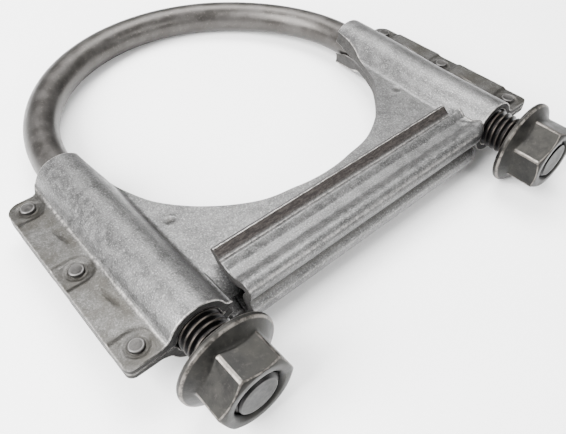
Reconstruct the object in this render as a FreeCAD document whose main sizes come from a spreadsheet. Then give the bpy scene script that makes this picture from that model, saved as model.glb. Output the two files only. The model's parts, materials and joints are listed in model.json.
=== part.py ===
"""Heavy-duty exhaust U-bolt clamp: bent rod, two riveted saddle stampings and two flange nuts.

Frame: origin on the pipe's axis in the plane of the rod's centre line, +X to the right leg,
+Y towards the bend, +Z along the pipe. All sizes are in millimetres.
"""
import FreeCAD, Part
import math
import os
import Sketcher

DOC = FreeCAD.newDocument("u_bolt_clamp")

# Driving dimensions: alias, value, meaning.
DIMENSIONS = [
    ("leg_offset", 56.63, "leg axis to the centre plane, and centre-line radius of the bend"),
    ("rod_radius", 5.43, "plain rod, which is the pitch radius of its rolled M12 thread"),
    ("thread_radius", 6.0, "crest radius of the M12 thread"),
    ("thread_length", 34.0, "threaded length of each leg"),
    ("bolt_end", 90.4, "end faces of the legs, before the pipe's axis"),
    ("end_chamfer", 1.0, "lead-in chamfer of each leg"),
    ("saddle_radius", 51.0, "arc of the webs that bears on the pipe"),
    ("seat_relief", 1.2, "how much wider the half tubes are cut back round the pipe"),
    ("sheet", 2.3, "thickness of one stamping"),
    ("tube_bore", 6.12, "inner radius of the half tubes round the legs"),
    ("tube_front", 69.0, "front ends of the half tubes"),
    ("tube_rear", 2.0, "rear ends of the half tubes"),
    ("crease_radius", 2.0, "outer bend radius where a half tube leaves the sheet"),
    ("mouth_radius", 1.2, "inner bend radius at the same place"),
    ("flange_side", 75.2, "outer edges of the side flanges"),
    ("flange_rear", 5.0, "rear ends of the side flanges"),
    ("flange_step", 66.2, "line where a side flange starts beside its half tube"),
    ("corner_rear", 4.0, "rounding of the rear flange corners"),
    ("corner_front", 2.0, "rounding of the front flange corners"),
    ("upper_web_front", 61.0, "front edge of the upper web, inside the rolled bar"),
    ("lower_web_front", 58.57, "line where the lower web bends down into the rolled bar"),
    ("web_side", 48.0, "half width of the web between the half tubes"),
    ("bar_left", 43.5, "left end of the rolled bar"),
    ("bar_right", 44.8, "right end of the bar's lower lobe"),
    ("fold_right", 48.2, "right end of the layer folded back over the web"),
    ("slope_angle", 55.0, "slope of the sheet from the web down to the lower lobe"),
    ("lobe_forward", 68.0, "axis of the lower lobe, before the pipe's axis"),
    ("lobe_drop", 3.9, "axis of the lower lobe, below the parting plane"),
    ("lobe_radius", 4.1, "outer radius of the lower lobe"),
    ("roll_forward", 68.4, "axis of the upper roll, before the pipe's axis"),
    ("roll_rise", 2.0, "axis of the upper roll, above the parting plane"),
    ("roll_radius", 2.9, "outer radius of the upper roll"),
    ("lip_crease", 59.3, "line where the folded layer turns up into the lip"),
    ("lip_reach", 2.8, "lip's reach towards the pipe"),
    ("lip_rise", 3.1, "lip's height above the folded layer"),
    ("lip_edge", 0.8, "half of the lip's thickness at its tip, along each axis"),
    ("rivet_side", 70.2, "rivet axes, from the centre plane"),
    ("rivet_middle", 37.0, "middle rivets, before the pipe's axis"),
    ("rivet_pitch", 27.5, "distance between neighbouring rivets"),
    ("rivet_shank", 1.9, "radius of a rivet's shank"),
    ("rivet_head", 2.5, "radius of a rivet's button"),
    ("rivet_crown", 2.0, "radius of the button's flat crown"),
    ("rivet_rise", 0.7, "height of a rivet's button"),
    ("nut_bearing", 78.5, "bearing faces of the nuts, before the pipe's axis"),
    ("nut_height", 12.0, "whole height of a flange nut"),
    ("nut_flats", 18.0, "hexagon across flats"),
    ("nut_flange", 13.0, "radius of the nut's flange"),
    ("nut_rim", 1.4, "height of the flange's cylindrical rim"),
    ("nut_cone", 3.8, "height at which the flange's cone meets the hexagon"),
    ("nut_bore", 6.06, "radius of the nut's bore over the thread's crests"),
    ("nut_face", 8.7, "radius of the nut's round outer face"),
    ("nut_bevel", 30.0, "angle of the bevel on the hexagon's corners"),
    ("spare", 1.0, "how far a cutting outline runs past what it cuts"),
    ("joint_lap", 0.5, "overlap of two neighbouring lengths of the rolled bar"),
]
NUT_TURN = {"nut_left": 22.0, "nut_right": 8.0}     # degrees about each leg's axis, as tightened


def make_sheet():
    """The spreadsheet of driving dimensions."""
    sheet = DOC.addObject("Spreadsheet::Sheet", "Sizes")
    for row, (alias, value, meaning) in enumerate(DIMENSIONS, start=1):
        sheet.set(f"A{row}", meaning)
        sheet.set(f"B{row}", str(value))
        sheet.setAlias(f"B{row}", alias)
    DOC.recompute()
    return sheet


class Size:
    """A length or angle that knows its value and the expression that binds it to the sheet."""

    def __init__(self, value, text):
        self.value = value
        self.text = text

    @staticmethod
    def of(other):
        return other if isinstance(other, Size) else Size(float(other), repr(float(other)))

    def joined(self, sign, other, value):
        return Size(value, f"({self.text} {sign} {other.text})")

    def __add__(self, other):
        other = Size.of(other)
        return self.joined("+", other, self.value + other.value)

    def __sub__(self, other):
        other = Size.of(other)
        return self.joined("-", other, self.value - other.value)

    def __mul__(self, other):
        other = Size.of(other)
        return self.joined("*", other, self.value * other.value)

    def __truediv__(self, other):
        other = Size.of(other)
        return self.joined("/", other, self.value / other.value)

    def __neg__(self):
        return Size(-self.value, f"(0 - {self.text})")

    def cos(self):
        return Size(math.cos(math.radians(self.value)), f"cos({self.text})")

    def sin(self):
        return Size(math.sin(math.radians(self.value)), f"sin({self.text})")

    def tan(self):
        return Size(math.tan(math.radians(self.value)), f"tan({self.text})")


SHEET = make_sheet()
S = {alias: Size(float(SHEET.get(alias)), f"Sizes.{alias}") for alias, _, _ in DIMENSIONS}
TUBE_OUTER = S["tube_bore"] + S["sheet"]
ZERO = Size.of(0)
NEARLY = 0.98       # keeps a chamfer just short of consuming the face beside it
LEAST_CHANGE = 1e-3     # mm3; a feature that changes less has cut or added nothing


# ---------------------------------------------------------------- sketches and features

def make_body(label):
    body = DOC.addObject("PartDesign::Body", label)
    body.Label = label
    return body


def make_sketch(body, plane, name):
    """An empty sketch on one of the body's own origin planes."""
    sketch = body.newObject("Sketcher::SketchObject", name)
    origin = next(item for item in body.Origin.OriginFeatures if item.Role == plane)
    sketch.AttachmentSupport = (origin, "")
    sketch.MapMode = "FlatFace"
    return sketch


def bind_point(sketch, geometry, corner, across, up):
    """Tie one point of a sketch to its two coordinates."""
    for kind, size in (("DistanceX", across), ("DistanceY", up)):
        index = sketch.addConstraint(Sketcher.Constraint(kind, -1, 1, geometry, corner, size.value))
        sketch.setExpression(f"Constraints[{index}]", size.text)


def add_circle(sketch, across, up, radius):
    centre = FreeCAD.Vector(across.value, up.value, 0)
    index = sketch.addGeometry(Part.Circle(centre, FreeCAD.Vector(0, 0, 1), radius.value))
    bind_point(sketch, index, 3, across, up)
    datum = sketch.addConstraint(Sketcher.Constraint("Radius", index, radius.value))
    sketch.setExpression(f"Constraints[{datum}]", radius.text)


def add_polygon(sketch, corners):
    """A closed outline whose corners are all bound to the sheet."""
    places = [FreeCAD.Vector(across.value, up.value, 0) for across, up in corners]
    first = sketch.GeometryCount
    for start, end in zip(places, places[1:] + places[:1]):
        sketch.addGeometry(Part.LineSegment(start, end))
    count = len(corners)
    for step, (across, up) in enumerate(corners):
        bind_point(sketch, first + step, 1, across, up)
        before = first + (step - 1) % count
        sketch.addConstraint(Sketcher.Constraint("Coincident", before, 2, first + step, 1))


def add_rectangle(sketch, left, right, low, high):
    add_polygon(sketch, [(left, low), (right, low), (right, high), (left, high)])


def extrude(body, kind, sketch, name, start, end):
    """Pad or pocket a sketch from start to end along the normal of its plane."""
    feature = body.newObject(kind, name)
    feature.Profile = sketch
    feature.Type = "Length"
    feature.setExpression("Length", (end - start).text)
    sketch.setExpression(".AttachmentOffset.Base.z", start.text)
    feature.Reversed = kind == "PartDesign::Pocket"
    volume = body.Shape.Volume if body.Shape and not body.Shape.isNull() else 0.0
    DOC.recompute()
    if abs(body.Shape.Volume - volume) < LEAST_CHANGE:
        raise RuntimeError(f"{body.Label}: {name} changed nothing")
    return feature


def pad(body, sketch, name, start, end):
    return extrude(body, "PartDesign::Pad", sketch, name, start, end)


def pocket(body, sketch, name, start, end):
    return extrude(body, "PartDesign::Pocket", sketch, name, start, end)


def edges_where(body, test):
    """Names of the body's present edges that pass a test."""
    return [f"Edge{n}" for n, edge in enumerate(body.Shape.Edges, start=1) if test(edge)]


def round_edges(body, name, radius, test, kind="PartDesign::Fillet", size_property="Radius"):
    """Fillet, or chamfer, every edge that passes the test."""
    tip = body.Tip
    feature = body.newObject(kind, name)
    feature.Base = (tip, edges_where(body, test))
    feature.setExpression(size_property, radius.text)
    DOC.recompute()


def near(value, target):
    return abs(value - target) < 0.02


def straight_at(edge, across=None, along=None, up=None):
    """True for a straight edge whose two ends both lie on the given coordinates."""
    if not isinstance(edge.Curve, Part.Line):
        return False
    wanted = (across, along, up)
    ends = [tuple(vertex.Point) for vertex in edge.Vertexes]
    return all(goal is None or near(end[axis], goal) for end in ends for axis, goal in enumerate(wanted))


# ---------------------------------------------------------------- the bent rod

def make_u_bolt():
    """Round rod: two straight legs, a half-circle bend and a thread on each leg."""
    body = make_body("u_bolt")
    path = make_sketch(body, "XY_Plane", "rod_path")
    side = S["leg_offset"]
    end = -S["bolt_end"]
    centre = FreeCAD.Vector(0, 0, 0)
    circle = Part.Circle(centre, FreeCAD.Vector(0, 0, 1), side.value)
    path.addGeometry(Part.LineSegment(FreeCAD.Vector(side.value, end.value, 0),
                                      FreeCAD.Vector(side.value, 0, 0)))
    path.addGeometry(Part.ArcOfCircle(circle, 0, math.pi))
    path.addGeometry(Part.LineSegment(FreeCAD.Vector(-side.value, 0, 0),
                                      FreeCAD.Vector(-side.value, end.value, 0)))
    bind_point(path, 0, 1, side, end)
    bind_point(path, 0, 2, side, ZERO)
    path.addConstraint(Sketcher.Constraint("PointOnObject", 2, 1, -1))
    bind_point(path, 2, 2, -side, end)
    path.addConstraint(Sketcher.Constraint("Coincident", 1, 3, -1, 1))
    path.addConstraint(Sketcher.Constraint("Coincident", 0, 2, 1, 1))
    path.addConstraint(Sketcher.Constraint("Coincident", 1, 2, 2, 1))

    section = make_sketch(body, "XZ_Plane", "rod_section")
    add_circle(section, side, ZERO, S["rod_radius"])
    section.setExpression(".AttachmentOffset.Base.z", S["bolt_end"].text)
    rod = body.newObject("PartDesign::AdditivePipe", "rod")
    rod.Profile = section
    rod.Spine = path
    DOC.recompute()

    for name, across in (("right", side), ("left", -side)):
        barrel = make_sketch(body, "XZ_Plane", f"{name}_thread_section")
        add_circle(barrel, across, ZERO, S["thread_radius"])
        pad(body, barrel, f"{name}_thread", S["bolt_end"] - S["thread_length"], S["bolt_end"])

    def leg_end(edge):
        return isinstance(edge.Curve, Part.Circle) and near(edge.CenterOfMass.y, end.value)

    def thread_start(edge):
        if not isinstance(edge.Curve, Part.Circle) or not near(edge.Curve.Radius, S["thread_radius"].value):
            return False
        return near(edge.CenterOfMass.y, (S["thread_length"] - S["bolt_end"]).value)

    chamfer = {"kind": "PartDesign::Chamfer", "size_property": "Size"}
    round_edges(body, "leg_lead_in", S["end_chamfer"], leg_end, **chamfer)
    step = S["thread_radius"] - S["rod_radius"]
    round_edges(body, "thread_run_out", step * NEARLY, thread_start, **chamfer)
    return body


# ---------------------------------------------------------------- the saddle stampings

def make_stamping(label, upward, web_front):
    """One stamping: flat web, two half tubes over the legs and two side flanges.

    upward is 1 for the upper stamping and -1 for the lower one.
    """
    body = make_body(label)
    outward = S["sheet"] * upward
    side = S["leg_offset"]
    front, rear = S["tube_front"], S["tube_rear"]
    reach = TUBE_OUTER + S["spare"]
    past_side = S["flange_side"] + S["spare"]

    plate = make_sketch(body, "XZ_Plane", f"{label}_plate_outline")
    add_rectangle(plate, -S["flange_side"], S["flange_side"], ZERO, outward)
    pad(body, plate, f"{label}_plate", rear, front)

    tubes = make_sketch(body, "XZ_Plane", f"{label}_tube_outline")
    for across in (side, -side):
        add_circle(tubes, across, ZERO, TUBE_OUTER)
    pad(body, tubes, f"{label}_tubes", rear, front)

    def crease(edge):
        outer = TUBE_OUTER.value
        foot = math.sqrt(outer ** 2 - S["sheet"].value ** 2)
        places = (side.value - foot, side.value + foot)
        return any(straight_at(edge, across=sign * place, up=outward.value)
                   for place in places for sign in (1, -1))

    round_edges(body, f"{label}_creases", S["crease_radius"], crease)

    other_half = make_sketch(body, "XZ_Plane", f"{label}_parting")
    add_rectangle(other_half, -past_side, past_side, ZERO, -reach * upward)
    pocket(body, other_half, f"{label}_half", rear - S["spare"], front + S["spare"])

    bores = make_sketch(body, "XZ_Plane", f"{label}_bore_outline")
    for across in (side, -side):
        add_circle(bores, across, ZERO, S["tube_bore"])
    pocket(body, bores, f"{label}_bores", rear - S["spare"], front + S["spare"])

    def mouth(edge):
        places = (side - S["tube_bore"], side + S["tube_bore"])
        return any(straight_at(edge, across=sign * place.value, up=0) for place in places for sign in (1, -1))

    round_edges(body, f"{label}_mouths", S["mouth_radius"], mouth)

    seat = make_sketch(body, "XY_Plane", f"{label}_seat_outline")
    add_circle(seat, ZERO, ZERO, S["saddle_radius"])
    pocket(body, seat, f"{label}_seat", -S["sheet"], S["sheet"])

    relief = make_sketch(body, "XY_Plane", f"{label}_relief_outline")
    add_circle(relief, ZERO, ZERO, S["saddle_radius"] + S["seat_relief"])
    low, high = (S["sheet"], reach) if upward > 0 else (-reach, -S["sheet"])
    pocket(body, relief, f"{label}_relief", low, high)

    web_end = make_sketch(body, "XY_Plane", f"{label}_web_end_outline")
    add_rectangle(web_end, -S["web_side"], S["web_side"], -front - S["spare"], -web_front)
    pocket(body, web_end, f"{label}_web_end", -reach, reach)

    notches = make_sketch(body, "XY_Plane", f"{label}_flange_end_outline")
    for sign in (1, -1):
        edges = (S["flange_step"] * sign, past_side * sign)
        add_rectangle(notches, edges[0], edges[1], -S["flange_rear"], S["spare"] - rear)
    pocket(body, notches, f"{label}_flange_ends", -reach, reach)

    holes = make_sketch(body, "XY_Plane", f"{label}_rivet_hole_outline")
    for sign in (1, -1):
        for step in (-1, 0, 1):
            along = -S["rivet_middle"] + S["rivet_pitch"] * step
            add_circle(holes, S["rivet_side"] * sign, along, S["rivet_shank"])
    pocket(body, holes, f"{label}_rivet_holes", -reach, reach)

    def corner(place):
        return lambda edge: any(straight_at(edge, across=sign * S["flange_side"].value, along=-place.value)
                                for sign in (1, -1))

    round_edges(body, f"{label}_rear_corners", S["corner_rear"], corner(S["flange_rear"]))
    round_edges(body, f"{label}_front_corners", S["corner_front"], corner(front))
    return body


def bar_pad(body, name, right, corners=None, circle=None):
    """A prism of the rolled bar from its left end to right, from corners (along, up) or a circle."""
    sketch = make_sketch(body, "YZ_Plane", f"{name}_outline")
    if circle:
        add_circle(sketch, *circle)
    else:
        add_polygon(sketch, corners)
    pad(body, sketch, name, -S["bar_left"], right)


def bar_pocket(body, name, corners=None, circle=None):
    """The same shape taken out over the bar's whole length."""
    sketch = make_sketch(body, "YZ_Plane", f"{name}_outline")
    if circle:
        add_circle(sketch, *circle)
    else:
        add_polygon(sketch, corners)
    pocket(body, sketch, name, -S["bar_left"] - S["spare"], S["fold_right"] + S["joint_lap"])


def add_rolled_bar(body):
    """The lower stamping's front edge: down, round the lower lobe, over the web and up into the lip."""
    sheet = S["sheet"]
    lobe = (-S["lobe_forward"], -S["lobe_drop"])
    roll = (-S["roll_forward"], S["roll_rise"])
    steep = (S["slope_angle"].cos(), S["slope_angle"].sin())
    top = S["roll_rise"] + S["roll_radius"]
    inner_lobe = S["lobe_radius"] - sheet
    inner_roll = S["roll_radius"] - sheet

    def on_lobe(radius):
        return lobe[0] + steep[0] * radius, lobe[1] - steep[1] * radius

    outside = on_lobe(S["lobe_radius"])
    inside = on_lobe(inner_lobe)
    slope_foot = -S["lower_web_front"]
    climb = (-inside[1]) / S["slope_angle"].cos() * S["slope_angle"].sin()
    slope_head = inside[0] + climb
    bar_pad(body, "bar_slope", S["bar_right"],
            corners=[outside, (slope_foot, -sheet), (slope_foot + S["joint_lap"], ZERO),
                     (slope_head, ZERO), inside])
    bar_pad(body, "bar_lobe", S["bar_right"], circle=(*lobe, S["lobe_radius"]))
    bar_pad(body, "bar_roll", S["fold_right"], circle=(*roll, S["roll_radius"]))
    crease = -S["lip_crease"]
    bar_pad(body, "bar_fold", S["fold_right"],
            corners=[(roll[0], top), (roll[0], top - sheet), (crease, top - sheet), (crease, top)])
    tip = (crease + S["lip_reach"], top + S["lip_rise"])
    bar_pad(body, "bar_lip", S["bar_right"],
            corners=[(crease - S["joint_lap"], top), (crease - S["joint_lap"], top - sheet),
                     (crease + sheet / 2, top - sheet),
                     (tip[0] + S["lip_edge"], tip[1] - S["lip_edge"]), tip])
    bar_pocket(body, "lobe_hollow", circle=(*lobe, inner_lobe))
    bar_pocket(body, "roll_hollow", circle=(*roll, inner_roll))
    hollow_front = roll[0] - inner_roll / 2
    bar_pocket(body, "bar_hollow",
               corners=[inside, (slope_head, ZERO), (slope_head, top - sheet), (roll[0], top - sheet),
                        (hollow_front, S["roll_rise"]), (hollow_front, -S["lobe_drop"]),
                        (lobe[0], lobe[1] - inner_lobe / 2)])


# ---------------------------------------------------------------- nuts and rivets

def make_nut(label, across, turn):
    """Hexagon flange nut on one leg; its own +Z points away from the saddle."""
    body = make_body(label)
    corner = S["nut_flats"] / Size(math.sqrt(3), "sqrt(3)")
    hexagon = make_sketch(body, "XY_Plane", f"{label}_hexagon")
    add_polygon(hexagon, [(corner * Size(math.cos(math.radians(60 * n)), f"cos({60 * n})"),
                           corner * Size(math.sin(math.radians(60 * n)), f"sin({60 * n})"))
                          for n in range(6)])
    pad(body, hexagon, f"{label}_body", ZERO, S["nut_height"])

    bevel = make_sketch(body, "XZ_Plane", f"{label}_bevel_outline")
    top = S["nut_height"]
    far = S["nut_flange"]
    flat = S["nut_face"]
    drop = (far - flat) * S["nut_bevel"].tan()
    add_polygon(bevel, [(flat, top), (far, top - drop), (far, top + S["spare"]), (flat, top + S["spare"])])
    groove = body.newObject("PartDesign::Groove", f"{label}_bevel")
    revolve(body, groove, bevel)

    cone = make_sketch(body, "XZ_Plane", f"{label}_flange_outline")
    add_polygon(cone, [(ZERO, ZERO), (far, ZERO), (far, S["nut_rim"]),
                       (S["nut_flats"] / 2, S["nut_cone"]), (ZERO, S["nut_cone"])])
    flange = body.newObject("PartDesign::Revolution", f"{label}_flange")
    revolve(body, flange, cone)

    bore = make_sketch(body, "XY_Plane", f"{label}_bore_outline")
    add_circle(bore, ZERO, ZERO, S["nut_bore"])
    pocket(body, bore, f"{label}_bore", -S["spare"], S["nut_height"] + S["spare"])

    def rim(edge):
        round_edge = isinstance(edge.Curve, Part.Circle) and near(edge.Curve.Radius, far.value)
        return round_edge and near(edge.CenterOfMass.z, S["nut_rim"].value)

    def bore_edge(edge):
        round_edge = isinstance(edge.Curve, Part.Circle) and near(edge.Curve.Radius, S["nut_bore"].value)
        return round_edge and (near(edge.CenterOfMass.z, 0) or near(edge.CenterOfMass.z, top.value))

    round_edges(body, f"{label}_rim", S["nut_rim"] / 2, rim)
    round_edges(body, f"{label}_bore_chamfer", S["nut_rim"] / 2, bore_edge,
                kind="PartDesign::Chamfer", size_property="Size")
    away = FreeCAD.Rotation(FreeCAD.Vector(1, 0, 0), 90)
    spin = FreeCAD.Rotation(FreeCAD.Vector(0, 0, 1), turn)
    body.Placement = FreeCAD.Placement(FreeCAD.Vector(), away.multiply(spin))
    body.setExpression(".Placement.Base.x", across.text)
    body.setExpression(".Placement.Base.y", (-S["nut_bearing"]).text)
    return body


def revolve(body, feature, sketch):
    """Turn a sketch once round the body's own Z axis."""
    feature.Profile = sketch
    axis = next(item for item in body.Origin.OriginFeatures if item.Role == "Z_Axis")
    feature.ReferenceAxis = (axis, [""])
    feature.Angle = 360
    volume = body.Shape.Volume
    DOC.recompute()
    if abs(body.Shape.Volume - volume) < LEAST_CHANGE:
        raise RuntimeError(f"{body.Label}: {feature.Name} changed nothing")


def make_rivet(label, across, along):
    """Solid rivet through both flanges, with a low button on each side."""
    body = make_body(label)
    half = S["sheet"]
    outer = half + S["rivet_rise"]
    outline = make_sketch(body, "XZ_Plane", f"{label}_outline")
    right = [(S["rivet_shank"], half), (S["rivet_head"], half), (S["rivet_head"], half + S["rivet_rise"] / 2),
             (S["rivet_crown"], outer)]
    lower = [(radius, -up) for radius, up in reversed(right)]
    add_polygon(outline, [(ZERO, -outer)] + lower + right + [(ZERO, outer)])
    button = body.newObject("PartDesign::Revolution", f"{label}_turned")
    button.Profile = outline
    axis = next(item for item in body.Origin.OriginFeatures if item.Role == "Z_Axis")
    button.ReferenceAxis = (axis, [""])
    DOC.recompute()
    body.setExpression(".Placement.Base.x", across.text)
    body.setExpression(".Placement.Base.y", along.text)
    return body


# ---------------------------------------------------------------- assembly and export

def make_pieces():
    pieces = [make_u_bolt()]
    pieces.append(make_stamping("upper_saddle", 1, S["upper_web_front"]))
    lower = make_stamping("lower_saddle", -1, S["lower_web_front"])
    add_rolled_bar(lower)
    pieces.append(lower)
    for side, sign in (("left", -1), ("right", 1)):
        pieces.append(make_nut(f"nut_{side}", S["leg_offset"] * sign, NUT_TURN[f"nut_{side}"]))
        for place, step in (("rear", 1), ("middle", 0), ("front", -1)):
            along = -S["rivet_middle"] + S["rivet_pitch"] * step
            pieces.append(make_rivet(f"rivet_{side}_{place}", S["rivet_side"] * sign, along))
    return pieces


def check_document(pieces):
    """Stop unless every object is computed and every piece is one valid solid."""
    for item in DOC.Objects:
        if "Invalid" in item.State or "Error" in item.State:
            raise RuntimeError(f"{item.Name} failed: {item.State}")
    for piece in pieces:
        shape = piece.Shape
        if shape.isNull() or not shape.isValid() or len(shape.Solids) != 1:
            raise RuntimeError(f"{piece.Label} isn't one valid solid")
        print(f"{piece.Label}: {shape.Volume:.1f} mm3")


def export(pieces):
    os.makedirs("parts", exist_ok=True)
    for piece in pieces:
        piece.Shape.exportStep(f"parts/{piece.Label}.step")


PIECES = make_pieces()
DOC.recompute()
check_document(PIECES)
export(PIECES)
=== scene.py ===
import json
import math

import bpy
import numpy as np
from mathutils import Matrix, Vector


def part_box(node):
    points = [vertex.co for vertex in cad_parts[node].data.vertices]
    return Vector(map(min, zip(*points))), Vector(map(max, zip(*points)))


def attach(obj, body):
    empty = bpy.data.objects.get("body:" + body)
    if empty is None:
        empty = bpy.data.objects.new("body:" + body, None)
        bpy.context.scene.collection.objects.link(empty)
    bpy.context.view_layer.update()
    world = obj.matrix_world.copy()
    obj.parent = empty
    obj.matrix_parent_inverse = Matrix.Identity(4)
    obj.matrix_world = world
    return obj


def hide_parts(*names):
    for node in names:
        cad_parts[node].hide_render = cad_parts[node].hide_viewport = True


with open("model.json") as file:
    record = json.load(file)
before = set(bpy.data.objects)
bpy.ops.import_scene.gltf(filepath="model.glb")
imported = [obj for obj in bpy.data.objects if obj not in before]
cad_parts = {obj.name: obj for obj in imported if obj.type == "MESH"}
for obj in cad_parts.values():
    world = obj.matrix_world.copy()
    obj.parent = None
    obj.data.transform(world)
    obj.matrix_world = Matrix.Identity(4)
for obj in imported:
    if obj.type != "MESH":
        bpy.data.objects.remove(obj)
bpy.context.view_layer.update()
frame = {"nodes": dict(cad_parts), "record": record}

MM = 0.001

# ---------------------------------------------------------------- sizes, in mm, read from the frame


def box_mm(node):
    """Lowest and highest corner of a CAD node, in mm."""
    low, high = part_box(node)
    return np.array(low) / MM, np.array(high) / MM


BOLT_LOW, BOLT_HIGH = box_mm("u_bolt")
UPPER_LOW, UPPER_HIGH = box_mm("upper_saddle")
NUT_LOW, NUT_HIGH = box_mm("nut_left")
PIPE_MOUNT = next(m for m in frame["record"]["mounts"] if m["name"] == "pipe_clamp")

THREAD_R = BOLT_HIGH[2]
LEG_X = BOLT_HIGH[0] - THREAD_R
ROD_R = BOLT_HIGH[1] - LEG_X
BOLT_END = -BOLT_LOW[1]
SEAT_R = PIPE_MOUNT["dims"]["r_mm"]
SHEET = PIPE_MOUNT["dims"]["length_mm"] / 2
TUBE_OUTER = UPPER_HIGH[2]
TUBE_BORE = TUBE_OUTER - SHEET
FLANGE_X = UPPER_HIGH[0]
TUBE_FRONT = -UPPER_LOW[1]
TUBE_REAR = -UPPER_HIGH[1]
NUT_FLANGE_R = NUT_HIGH[2]
NUT_HEIGHT = NUT_HIGH[1] - NUT_LOW[1]
NUT_BEARING = -NUT_HIGH[1]

PITCH = 1.75
THREAD_LENGTH = 34.0
THREAD_ROOT = THREAD_R - 0.61 * PITCH
END_CHAMFER = 1.0

CREASE_R = 2.0
MOUTH_R = 1.2
EDGE_R = 0.3
FLANGE_STEP = 65.6
FLANGE_REAR = 5.0
CORNER_REAR = 4.0
CORNER_FRONT = 2.0
RIVETS = {
    node: (box_mm(node)[0] + box_mm(node)[1]) / 2
    for node in frame["nodes"]
    if node.startswith("rivet_")
}
RIVET_TOP = box_mm("rivet_left_rear")[1][2]
DISH_R = 4.3
DISH_DEPTH = 0.5

CREASE_X = LEG_X + math.sqrt((TUBE_OUTER + CREASE_R) ** 2 - (SHEET + CREASE_R) ** 2) - 0.7
BAR_LEFT = 43.5
BAR_RIGHT = 44.8
LOBE = np.array([-68.0, -3.9])
LOBE_R = 4.1
ROLL = np.array([-68.4, 2.0])
ROLL_R = 2.9
GROOVE_R = 1.6
SLOPE = math.radians(55.0)
CREASE_Y = -59.3
LIP_ANGLE = math.radians(50.0)
LIP_LENGTH = 4.2
FOLD_DISH = 1.1
SPLAY = 2.4
ARC_SPREAD = 1.3


# ---------------------------------------------------------------- mesh helpers

def smoothstep(low, high, value):
    ratio = np.clip((value - low) / (high - low), 0.0, 1.0)
    return ratio * ratio * (3 - 2 * ratio)


def waves(x, y, size, seed):
    """A soft, fixed unevenness between -1 and 1 with features about size wide."""
    rng = np.random.default_rng(seed)
    total = np.zeros(np.broadcast(x, y).shape)
    for _ in range(6):
        angle = rng.uniform(0, 2 * math.pi)
        phase = rng.uniform(0, 2 * math.pi)
        stretch = rng.uniform(0.7, 1.6)
        along = x * math.cos(angle) + y * math.sin(angle)
        total = total + np.sin(along * 2 * math.pi / (size * stretch) + phase)
    return total / 6


def splay(points):
    """The right half tube and leg stand slightly apart where the bend starts, behind the thread."""
    points = np.array(points, float)
    x, y = points[:, 0], points[:, 1]
    across = smoothstep(28, 50, x) * (1 - smoothstep(LEG_X + 7.5, FLANGE_X, x))
    along = smoothstep(-54, -2, y) * (1 - smoothstep(4, 52, y))
    points[:, 0] += SPLAY * across * along
    return points


def make_object(name, points, faces, layers=None, smooth=True):
    """A mesh object from points in mm, with one float attribute a point for each layer."""
    mesh = bpy.data.meshes.new(name)
    mesh.from_pydata((np.asarray(points) * MM).tolist(), [], [tuple(int(i) for i in f) for f in faces])
    for layer, values in (layers or {}).items():
        attribute = mesh.attributes.new(layer, "FLOAT", "POINT")
        attribute.data.foreach_set("value", np.asarray(values, dtype=np.float32))
    mesh.polygons.foreach_set("use_smooth", [smooth] * len(mesh.polygons))
    mesh.update()
    obj = bpy.data.objects.new(name, mesh)
    bpy.context.scene.collection.objects.link(obj)
    return obj


def lathe_faces(rows, count):
    """Quads of a closed tube of rows, each of count points."""
    faces = []
    for row in range(rows - 1):
        for step in range(count):
            after = (step + 1) % count
            faces.append((row * count + step, row * count + after,
                          (row + 1) * count + after, (row + 1) * count + step))
    return faces


# ---------------------------------------------------------------- the bent rod

def thread_radius(from_end, turn, hand):
    """Radius of the threaded rod: flat crests, sloped flanks, round roots, and a fading run-out."""
    phase = (from_end / PITCH + hand * turn / (2 * math.pi)) % 1.0
    away = np.abs(phase - 0.5) * 2
    ridge = smoothstep(0.16, 0.80, away)
    depth = THREAD_R - THREAD_ROOT
    full = THREAD_ROOT + depth * ridge
    fade = 1 - smoothstep(THREAD_LENGTH - 2.5, THREAD_LENGTH, from_end)
    radius = ROD_R + (full - ROD_R) * fade
    lead_in = THREAD_R - END_CHAMFER + from_end
    return np.minimum(radius, lead_in)


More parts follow.
